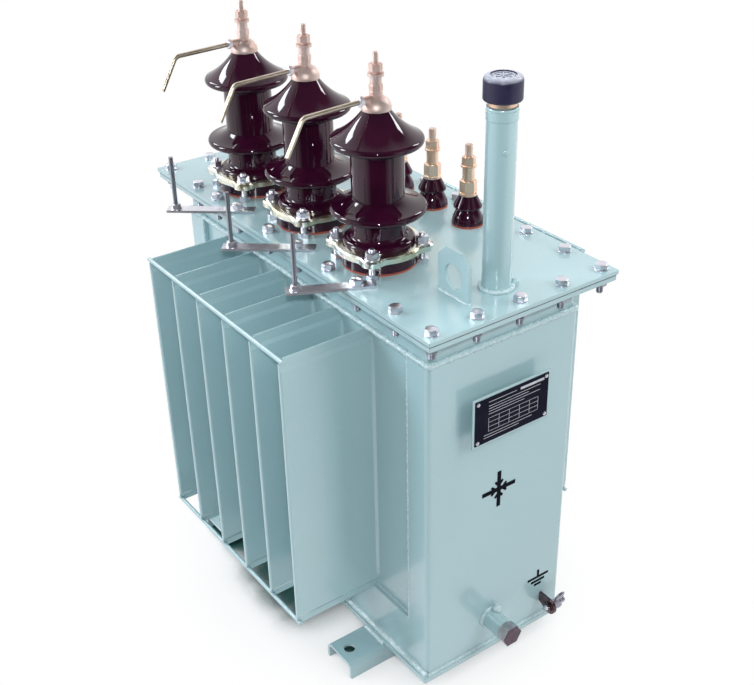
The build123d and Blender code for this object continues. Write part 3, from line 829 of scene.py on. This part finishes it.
seam_seed = 11
end_weld_seed = 12
side_weld_seed = 16
return_seed = 20
sill_seed = 30
seam_inset = 2.0 * MM
seam_radius = 4.8 * MM
base_end_leg = 3.8 * MM
base_side_leg = 6.5 * MM
sill_leg = 2.4 * MM
return_radius = 2.4 * MM
return_sink = 1.2 * MM
fin_count = 6
fin_thickness = 8.0 * MM
fin_fold_leg = 4.5 * MM
fin_pinch_top = 21.0 * MM
fin_pinch_bottom = 17.0 * MM


def tank_welds():
    """Beads along the frame, the bottom plate and the panels."""
    beads = bmesh.new()
    reach = Vector((end_face - seam_inset, side_face - seam_inset))
    add_bead(beads, rectangle_points(-reach, reach, seam_level), seam_radius, seam_seed, closed=True)
    floor_level = base_high.z
    for sign in (-1, 1):
        out_x = Vector((sign, 0, 0))
        out_y = Vector((0, sign, 0))
        low = Vector((sign * end_face, -side_face, floor_level))
        high = Vector((sign * end_face, side_face, floor_level))
        add_fillet_weld(beads, low, high, out_x, UP, base_end_leg, end_weld_seed + sign)
        low = Vector((-end_face, sign * side_face, floor_level))
        high = Vector((end_face, sign * side_face, floor_level))
        add_fillet_weld(beads, low, high, out_y, UP, base_side_leg, side_weld_seed + sign)
        for end in (-1, 1):
            foot = Vector((end * return_x, sign * (side_face - return_sink), skirt_top))
            head = Vector((end * return_x, sign * (side_face - return_sink), seam_level))
            add_bead(beads, [foot, head], return_radius, return_seed + sign + 3 * end)
        left = Vector((-return_x, sign * panel_face, skirt_top))
        right = Vector((return_x, sign * panel_face, skirt_top))
        add_fillet_weld(beads, left, right, out_y, UP, sill_leg, sill_seed + sign)
    finish_piece("tank_welds", beads, weld_paint, BEAD_ANGLE)


tank_welds()


def fin_folds():
    """Rounded folds where each fin leaves its panel."""
    folds = bmesh.new()
    pitch = (fins_high.x - fins_low.x - fin_thickness) / (fin_count - 1)
    bottom = skirt_top + fin_pinch_bottom
    top = seam_level - fin_pinch_top
    for sign in (-1, 1):
        for index in range(fin_count):
            axis = fins_low.x + fin_thickness / 2 + index * pitch
            for side in (-1, 1):
                x = axis + side * fin_thickness / 2
                start = Vector((x, sign * panel_face, bottom))
                finish = Vector((x, sign * panel_face, top))
                add_fold(folds, start, finish, Vector((0, sign, 0)), Vector((side, 0, 0)), fin_fold_leg)
    finish_piece("fin_folds", folds, materials["tank_paint"], BEAD_ANGLE)


fin_folds()

lug_bead = 2.6 * MM
pipe_bead = 3.4 * MM
pipe_bead_rise = 2.0 * MM
pipe_bead_inset = 3.0 * MM
stub_bead = 3.8 * MM
stub_bead_reach = 1.0 * MM
foot_weld_leg = 4.5 * MM
foot_weld_inset = 8.0 * MM
lug_seed = 40
pipe_seed = 50
stub_seed = 52
foot_seed = 60
blob_offset = Vector((9.0, 8.0, 17.0)) * MM
blob_lean = (0.3, 0.2, 1)
blob_outline = [(0, -4.0), (5.5, -3.0), (8.2, 0), (8.0, 3.0), (6.2, 6.0), (3.2, 7.8), (0, 8.4)]


def fitting_welds():
    """Beads round the lifting lugs, the filler pipe, the drain stub and the feet."""
    beads = bmesh.new()
    for index, node in enumerate(("left_lifting_lug", "right_lifting_lug")):
        low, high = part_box(node)
        add_bead(beads, rectangle_points(low, high, cover_top), lug_bead, lug_seed + index, closed=True)
    pipe_low, pipe_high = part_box("filler_pipe")
    pipe = (pipe_low + pipe_high) / 2
    foot_radius = (pipe_high.x - pipe_low.x) / 2 - pipe_bead_inset
    foot = circle_points(Vector((pipe.x, pipe.y, cover_top + pipe_bead_rise)), foot_radius)
    add_bead(beads, foot, pipe_bead, pipe_seed, closed=True)
    stub_low, stub_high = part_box("drain_stub")
    stub = (stub_low + stub_high) / 2
    stub_radius = (stub_high.y - stub_low.y) / 2
    stub_root = Vector((end_face + stub_bead_reach, stub.y, stub.z))
    root = circle_points(stub_root, stub_radius, Vector((1, 0, 0)))
    add_bead(beads, root, stub_bead, stub_seed, closed=True)
    blob = along(Vector((end_face, stub.y, stub.z)) + blob_offset, blob_lean)
    add_lathe(beads, blob, scaled(blob_outline), SMALL_SIDES)
    for index, node in enumerate(("left_foot", "right_foot")):
        low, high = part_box(node)
        for y, side in ((base_low.y, -1), (base_high.y, 1)):
            start = Vector((low.x + foot_weld_inset, y, base_low.z))
            finish = Vector((high.x - foot_weld_inset, y, base_low.z))
            out = Vector((0, side, 0))
            add_fillet_weld(beads, start, finish, UP, out, foot_weld_leg, foot_seed + index)
    finish_piece("fitting_welds", beads, weld_paint, BEAD_ANGLE)


fitting_welds()

# Rating plate: a blank field, an empty ruled table and four rivets

line_thickness = 0.25 * MM
line_width = 0.7 * MM
grid_width = 0.5 * MM
field_width = 4.2 * MM
field_level = 0.90
field_ends = (0.62, 0.92)
entry_start = 0.18
entry_rows = ((0.90, 0.55), (0.81, 0.88), (0.75, 0.72), (0.69, 0.88), (0.63, 0.66))
grid_levels = (0.54, 0.44, 0.34, 0.24)
grid_columns = (0.18, 0.32, 0.46, 0.60, 0.74, 0.86)
foot_start = 0.12
foot_rows = ((0.17, 0.78), (0.11, 0.60))
rivet_inset = 5.0 * MM
rivet_outline = [(0, 0), (3.2, 0), (3.0, 0.8), (1.9, 1.6), (0, 1.9)]
plate_low, plate_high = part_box("rating_plate")


def add_slab(mesh, low, high):
    """Box between two corners."""
    ends = (low, high)
    corners = [(x.x, y.y, z.z) for x in ends for y in ends for z in ends]
    verts = [mesh.verts.new(corner) for corner in corners]
    for face in ((0, 1, 3, 2), (4, 6, 7, 5), (0, 4, 5, 1), (2, 3, 7, 6), (0, 2, 6, 4), (1, 5, 7, 3)):
        mesh.faces.new([verts[index] for index in face])


def plate_rule(mesh, y0, z0, y1, z1, width=line_width):
    """Thin raised line on the plate, given as shares of its width and height."""
    span_y = plate_high.y - plate_low.y
    span_z = plate_high.z - plate_low.z
    start = Vector((plate_high.x - line_thickness, plate_low.y + span_y * y0, plate_low.z + span_z * z0))
    finish = Vector((plate_high.x + line_thickness, plate_low.y + span_y * y1, plate_low.z + span_z * z1))
    grow = Vector((0, width / 2, width / 2))
    add_slab(mesh, start - grow, finish + grow)


def plate_table():
    """Blank field at the head, rules for entries and a grid below, and a rivet in each corner."""
    rules = bmesh.new()
    left, right = field_ends
    plate_rule(rules, left, field_level, right, field_level, field_width)
    for level, right in entry_rows:
        plate_rule(rules, entry_start, level, right, level)
    for level in grid_levels:
        plate_rule(rules, grid_columns[0], level, grid_columns[-1], level, grid_width)
    for share in grid_columns:
        plate_rule(rules, share, grid_levels[-1], share, grid_levels[0], grid_width)
    for level, right in foot_rows:
        plate_rule(rules, foot_start, level, right, level)
    finish_piece("plate_table", rules, plate_lines)
    rivets = bmesh.new()
    for y in (plate_low.y + rivet_inset, plate_high.y - rivet_inset):
        for z in (plate_low.z + rivet_inset, plate_high.z - rivet_inset):
            corner = along(Vector((plate_high.x, y, z)), (1, 0, 0))
            add_lathe(rivets, corner, scaled(rivet_outline), RIVET_SIDES)
    finish_piece("plate_rivets", rivets, materials["bright_zinc"])


plate_table()

# Black marks on the end wall: handling cross and earth sign

mark_thickness = 0.3 * MM
cross_place = Vector((end_face, -3.0 * MM, 353.0 * MM))
cross_reach = 33.5 * MM
cross_width = 7.6 * MM
arrow_outline = ((3.0, 0.0), (13.0, 9.0), (16.5, 7.0), (13.0, 0.0), (16.5, -7.0), (13.0, -9.0))
earth_place = Vector((end_face, 93.0 * MM, 124.0 * MM))
earth_bars = ((23.0, 0.0), (15.0, -8.0), (7.5, -15.5))
earth_width = 4.8 * MM
earth_stem = 15.0 * MM
mark_layer = Vector((mark_thickness / 20, 0, 0))


def add_mark(mesh, centre, points):
    """Thin flat shape on the end wall from (across, up) points."""
    back = [mesh.verts.new(centre + Vector((0, y, z))) for y, z in points]
    front = [mesh.verts.new(centre + Vector((mark_thickness, y, z))) for y, z in points]
    bridge(mesh, back, front)
    mesh.faces.new(front)
    mesh.faces.new(back)


def bar_points(y0, z0, y1, z1, width):
    """Corners of a straight bar between two points."""
    length = hypot(y1 - y0, z1 - z0)
    side_y = -(z1 - z0) / length * width / 2
    side_z = (y1 - y0) / length * width / 2
    return [
        (y0 - side_y, z0 - side_z),
        (y1 - side_y, z1 - side_z),
        (y1 + side_y, z1 + side_z),
        (y0 + side_y, z0 + side_z),
    ]


def wall_marks():
    """Cross of four arrows that meet, and three level bars under a short upright one."""
    marks = bmesh.new()
    for quarter in range(4):
        turn = quarter * pi / 2
        out_y, out_z = cos(turn), sin(turn)
        lift = mark_layer * 2 * quarter
        arm = bar_points(0, 0, out_y * cross_reach, out_z * cross_reach, cross_width)
        add_mark(marks, cross_place + lift, arm)
        head = []
        for ahead, aside in arrow_outline:
            head.append(((out_y * ahead - out_z * aside) * MM, (out_z * ahead + out_y * aside) * MM))
        add_mark(marks, cross_place + lift * 1.5 + mark_layer, head)
    add_mark(marks, earth_place + mark_layer * 2, bar_points(0, 0, 0, earth_stem, earth_width))
    for half, level in earth_bars:
        bar = bar_points(-half * MM, level * MM, half * MM, level * MM, earth_width)
        add_mark(marks, earth_place, bar)
    finish_piece("wall_marks", marks, mark_black)


wall_marks()

# Earth terminal: wing nut on the stud behind the tab, and the stud's end and nut in front

earth_low, earth_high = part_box("earth_terminal")
earth_tab_radius = 14.0 * MM
earth_stud_length = 27.5 * MM
earth_thread_radius = 5.5 * MM
earth_cut = (0.4 * MM, 1.5 * MM)
earth_thread_start = 12.0 * MM
earth_thread_end = 28.2 * MM
earth_tip_sink = 1.0 * MM
earth_tip_outline = [(0, 0), (4.6, 0), (4.4, 2.0), (3.2, 3.0), (0, 3.2)]
earth_front_length = 5.0 * MM
earth_nut_across_flats = 15.0 * MM
wing_hub = [(0, 0), (9.0, 0), (9.5, 1.0), (9.5, 2.5), (7.5, 5.0), (6.4, 13.0), (5.4, 14.0), (0, 14.0)]
wing_lobe = [(0, -1.0), (0.5, -0.87), (0.87, -0.5), (1.0, 0), (0.87, 0.5), (0.5, 0.87), (0, 1.0)]
wing_size = Vector((3.4, 6.5, 11.5)) * MM
wing_offset = 11.0 * MM
wing_rise = 17.5 * MM
wing_tilt = radians(28.0)
wing_turn = radians(8.0)


def earth_fittings():
    """Wing nut on the earth stud, and the stud's bright end and its nut in front."""
    axis = Vector((earth_high.x - earth_tab_radius, earth_low.y, earth_low.z + earth_tab_radius))
    seat = earth_high.y - earth_stud_length
    nut = bmesh.new()
    hub_place = along(Vector((axis.x, seat, axis.z)), (0, 1, 0), wing_turn)
    add_lathe(nut, hub_place, scaled(wing_hub), KNOB_SIDES)
    for side in (-1, 1):
        lean = Matrix.Rotation(side * wing_tilt, 4, "X")
        shift = Matrix.Translation((0, -side * wing_offset, wing_rise))
        stretch = Matrix.Diagonal((wing_size.x, wing_size.y, wing_size.z, 1.0))
        add_lathe(nut, hub_place @ shift @ lean @ stretch, wing_lobe, SMALL_SIDES)
    sleeve = thread(earth_thread_radius, *earth_cut, earth_thread_start, earth_thread_end)
    add_lathe(nut, hub_place, sleeve, SMALL_SIDES)
    finish_piece("wing_nut", nut, dark_zinc_and_painted_shade, TURNED_ANGLE)
    tip = bmesh.new()
    front = along(Vector((axis.x, earth_low.y + earth_tip_sink, axis.z)), (0, -1, 0))
    add_lathe(tip, front, scaled(earth_tip_outline), KNOB_SIDES)
    finish_piece("earth_stud_end", tip, materials["bright_zinc"], TURNED_ANGLE)
    front_nut = bmesh.new()
    tab_front = Vector((axis.x, earth_low.y + earth_front_length, axis.z))
    add_hex(front_nut, along(tab_front, (0, -1, 0)), earth_nut_across_flats, earth_front_length)
    finish_piece("earth_nut", front_nut, materials["bare_steel"])


earth_fittings()

# Filler pipe: collar, seal under the neck ring, ribs on the cap, a plugged tapping and a drop of weld

seal_outline = [(0, 0), (21.0, 0), (21.4, 0.8), (20.6, 1.8), (0, 1.8)]
seal_sink = 0.2 * MM
collar_outline = [(0, 0), (21.2, 0), (21.2, 3.4), (20.6, 4.0), (0, 4.0)]
collar_height = 4.0 * MM
collar_sink = 0.1 * MM
rib_depth = 2.0 * MM
rib_radius = 1.3 * MM
rib_reach = 12.0 * MM
rib_rim = 14.0 * MM
rib_turns = [0.4 + index * pi / 3 for index in range(3)]
rib_seed = 70
rim_seed = 71
tapping_level = 207.0 * MM
tapping_turn = radians(-22.0)
tapping_reach = 20.6 * MM
tapping_plug = disc(4.5 * MM, 1.6 * MM, 0.5 * MM)
drop_outline = [(0, 0), (6.5, 0), (6.3, 4.0), (5.0, 8.0), (2.5, 10.0), (0, 10.6)]
drop_offset = Vector((11.0, 25.0, 0.0)) * MM


def filler_fittings():
    """Black seal on the pipe's end, ribs in the cap's hollow, and small painted fittings on the pipe."""
    axis = middle("filler_neck_ring")
    pipe_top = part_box("filler_neck_ring")[0].z
    seal = bmesh.new()
    seat = at(axis.x, axis.y, pipe_top + collar_height - seal_sink)
    add_lathe(seal, seat, scaled(seal_outline), SEAL_SIDES)
    finish_piece("filler_seal", seal, materials["gasket"])
    ribs = bmesh.new()
    centre = Vector((axis.x, axis.y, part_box("filler_cap")[1].z - rib_depth))
    for turn in rib_turns:
        reach = Vector((cos(turn), sin(turn), 0)) * rib_reach
        add_bead(ribs, [centre - reach, centre + reach], rib_radius, rib_seed)
    add_bead(ribs, circle_points(centre, rib_rim), rib_radius, rim_seed, closed=True)
    finish_piece("cap_ribs", ribs, materials["black_cap"], BEAD_ANGLE)
    fittings = bmesh.new()
    collar = at(axis.x, axis.y, pipe_top - collar_sink)
    add_lathe(fittings, collar, scaled(collar_outline), COLLAR_SIDES)
    heading = Vector((cos(tapping_turn), sin(tapping_turn), 0))
    start = Vector((axis.x, axis.y, cover_top + tapping_level)) + heading * tapping_reach
    add_lathe(fittings, along(start, heading), tapping_plug, SMALL_SIDES)
    drop = at(axis.x + drop_offset.x, axis.y + drop_offset.y, cover_top)
    add_lathe(fittings, drop, scaled(drop_outline), KNOB_SIDES)
    finish_piece("filler_fittings", fittings, materials["tank_paint"], TURNED_ANGLE)


filler_fittings()

# Studio: white surroundings that are dim on the viewer's side, a pale floor, and soft lamps

camera_place = Vector((1.4211, -0.9797, 1.4570))
camera_azimuth = radians(54.933)
camera_elevation = radians(30.201)
camera_roll = radians(-1.349)
camera_heading = Vector((sin(camera_azimuth), -cos(camera_azimuth), 0.0))
camera_right = Vector((cos(camera_azimuth), sin(camera_azimuth), 0.0))
ceiling_tilt = radians(60.0)
ceiling_axis = camera_heading * cos(ceiling_tilt) + UP * sin(ceiling_tilt)
side_tilt = radians(40.0)
side_axis = camera_right * cos(side_tilt) + UP * sin(side_tilt)
front_cone = (0.35, 0.80)
ceiling_cone = (0.40, 0.80)
side_cone = (0.68, 0.90)
room_heights = (-0.2, 0.7)
room_levels = (0.03, 0.10)
open_level = 0.9
floor_radius = 1.25
floor_sides = 96
floor_gap = 0.5 * MM
shadow_reach = 0.6
shadow_samples = 64
# Dark colour painted on the floor as the shadow under the fins and in closed-in places
shadow_colour = colour(0.024, 0.085, 0.075)
lee_edge = (0.06, 0.14)
fin_shelter = (0.38, 0.45)
closed_shelter = (0.10, 0.18)
open_shelter = (0.15, 0.70)
sheltered_share = 0.35


def backdrop_rays(tree):
    """One for rays of the eye, and for mirrored and passed-through ones."""
    path = put(tree, "ShaderNodeLightPath")
    bounced = larger(tree, path.outputs["Is Glossy Ray"], path.outputs["Is Transmission Ray"])
    return path.outputs["Is Camera Ray"], bounced


def studio_world():
    """White to the eye; as light it is white round the object and dim on the viewer's side."""
    world = bpy.data.worlds.new("studio")
    bpy.context.scene.world = world
    world.use_nodes = True
    tree = world.node_tree
    tree.nodes.clear()
    direction = put(tree, "ShaderNodeTexCoord").outputs["Generated"]
    front = spread(tree, dot(tree, direction, camera_heading), *front_cone, 0.0, 1.0)
    ceiling = spread(tree, dot(tree, direction, ceiling_axis), *ceiling_cone, 0.0, 1.0)
    side = spread(tree, dot(tree, direction, side_axis), *side_cone, 0.0, 1.0)
    open_side = rest_of(tree, larger(tree, side, larger(tree, front, ceiling)))
    dim = spread(tree, part_of(tree, direction, "Z"), *room_heights, *room_levels)
    level = put(tree, "ShaderNodeMix", {0: open_side, 2: dim, 3: open_level}, data_type="FLOAT").outputs[0]
    soft = put(tree, "ShaderNodeBackground", {"Color": colour(0.92, 0.97, 1.0), "Strength": level})
    white = put(tree, "ShaderNodeBackground", {"Color": colour(1, 1, 1), "Strength": 1.0})
    direct, bounced = backdrop_rays(tree)
    share = larger(tree, direct, times(tree, bounced, open_side))
    mixed = put(tree, "ShaderNodeMixShader", {0: share, 1: soft.outputs[0], 2: white.outputs[0]})
    put(tree, "ShaderNodeOutputWorld", {"Surface": mixed.outputs[0]})


def studio_floor():
    """Pale round floor that reads as white paper; under the fins and where it is closed in, its colour is
    painted a dark shadow colour, and beside the object it keeps the lamps' shadow.
    """
    sheet = bmesh.new()
    bmesh.ops.create_circle(sheet, cap_ends=True, radius=floor_radius, segments=floor_sides)
    data = bpy.data.meshes.new("floor")
    sheet.to_mesh(data)
    sheet.free()
    floor = bpy.data.objects.new("floor", data)
    bpy.context.scene.collection.objects.link(floor)
    floor.location.z = cad_box[0][2] - floor_gap
    material, tree, shader, place = start_material("floor_paper")
    tone = ramp(
        tree,
        noise(tree, place, 3.0),
        (0.3, colour(0.80, 0.82, 0.83)),
        (0.7, colour(0.84, 0.85, 0.86)),
    )
    set_values(shader, Roughness=0.9)
    glow = put(tree, "ShaderNodeEmission", {"Color": colour(1, 1, 1), "Strength": 1.0})
    reach = {"Distance": shadow_reach}
    shelter = put(tree, "ShaderNodeAmbientOcclusion", reach, samples=shadow_samples).outputs["AO"]
    # Painted shadow: where the floor is sheltered under the fins, on the side away from the key lamp, and
    # where it is closed in, its colour turns to the dark shadow colour.
    painted_shadow_lee_side = spread(tree, part_of(tree, place, "X"), *lee_edge, 1.0, 0.0)
    painted_shadow_under_fins = times(tree, painted_shadow_lee_side, spread(tree, shelter, *fin_shelter, 1.0, 0.0))
    painted_shadow_closed_in = spread(tree, shelter, *closed_shelter, 1.0, 0.0)
    under = larger(tree, painted_shadow_under_fins, painted_shadow_closed_in)
    tree.links.new(blend(tree, under, tone, shadow_colour), shader.inputs["Base Color"])
    beside = spread(tree, shelter, *open_shelter, sheltered_share, 1.0)
    open_share = times(tree, beside, rest_of(tree, under))
    direct, bounced = backdrop_rays(tree)
    share = times(tree, open_share, larger(tree, direct, bounced))
    mixed = put(tree, "ShaderNodeMixShader", {0: share, 1: shader.outputs[0], 2: glow.outputs[0]})
    tree.links.new(mixed.outputs[0], tree.nodes["Material Output"].inputs["Surface"])
    data.materials.append(material)


def lamp(name, place, target, size, power, tint=(1.0, 1.0, 1.0), mirrored=True):
    """Soft rectangular lamp that looks at a point, and is or is not mirrored in glossy surfaces."""
    data = bpy.data.lights.new(name, "AREA")
    data.shape = "RECTANGLE"
    data.size, data.size_y = size
    data.energy = power
    data.color = tint
    made = bpy.data.objects.new(name, data)
    made.visible_glossy = mirrored
    made.location = place
    made.rotation_euler = (Vector(target) - Vector(place)).to_track_quat("-Z", "Y").to_euler()
    bpy.context.scene.collection.objects.link(made)


sky_tint = (0.86, 0.93, 1.0)
flash_tint = (0.92, 0.97, 1.0)
fill_place = camera_place + Vector((0.1, -0.1, 0.5))
flash_place = camera_place + Vector((0.0, 0.0, 0.10))

studio_world()
studio_floor()
lamp("key", (2.6, 1.3, 2.3), (0, 0, 0.5), (1.6, 1.6), 36.0, mirrored=False)
lamp("top", (0.2, 0.5, 3.0), (0, 0, 0.7), (1.6, 1.6), 12.0, mirrored=False)
lamp("corner", (0.9, 1.1, 1.7), (0.3, 0.1, 0.75), (0.7, 0.7), 5.0, mirrored=False)
lamp("fill", fill_place, (0.1, 0, 0.75), (0.9, 0.9), 6.5, mirrored=False)
lamp("left_window", (-1.5, -2.4, 1.8), (0, 0, 0.6), (0.6, 1.3), 42.0, sky_tint)
lamp("back_window", (-2.3, -0.8, 2.6), (0, 0, 0.8), (0.5, 1.3), 34.0, sky_tint)
lamp("right_window", (0.3, 2.5, 2.4), (0, 0, 0.8), (0.45, 1.0), 20.0)
lamp("flash", flash_place, (0, 0, 0.6), (0.07, 0.05), 13.0, flash_tint)

# Camera at the photograph's place, with its lens in pixels of the 754 pixel wide frame

image_width = 754.0
lens_pixels = 1166.203
sensor_width = 36.0
view_depth = 50.0


def photo_camera():
    """Camera at the fitted place."""
    data = bpy.data.cameras.new("camera")
    data.sensor_fit = "HORIZONTAL"
    data.sensor_width = sensor_width
    data.lens = lens_pixels / image_width * sensor_width
    data.clip_end = view_depth
    made = bpy.data.objects.new("camera", data)
    back = camera_heading * cos(camera_elevation) + UP * sin(camera_elevation)
    above = back.cross(camera_right)
    tilted_right = camera_right * cos(camera_roll) + above * sin(camera_roll)
    tilted_above = above * cos(camera_roll) - camera_right * sin(camera_roll)
    axes = Matrix((tilted_right, tilted_above, back)).transposed().to_4x4()
    made.matrix_world = Matrix.Translation(camera_place) @ axes
    bpy.context.scene.collection.objects.link(made)
    bpy.context.scene.camera = made


photo_camera()
bpy.context.scene.view_settings.view_transform = "Standard"
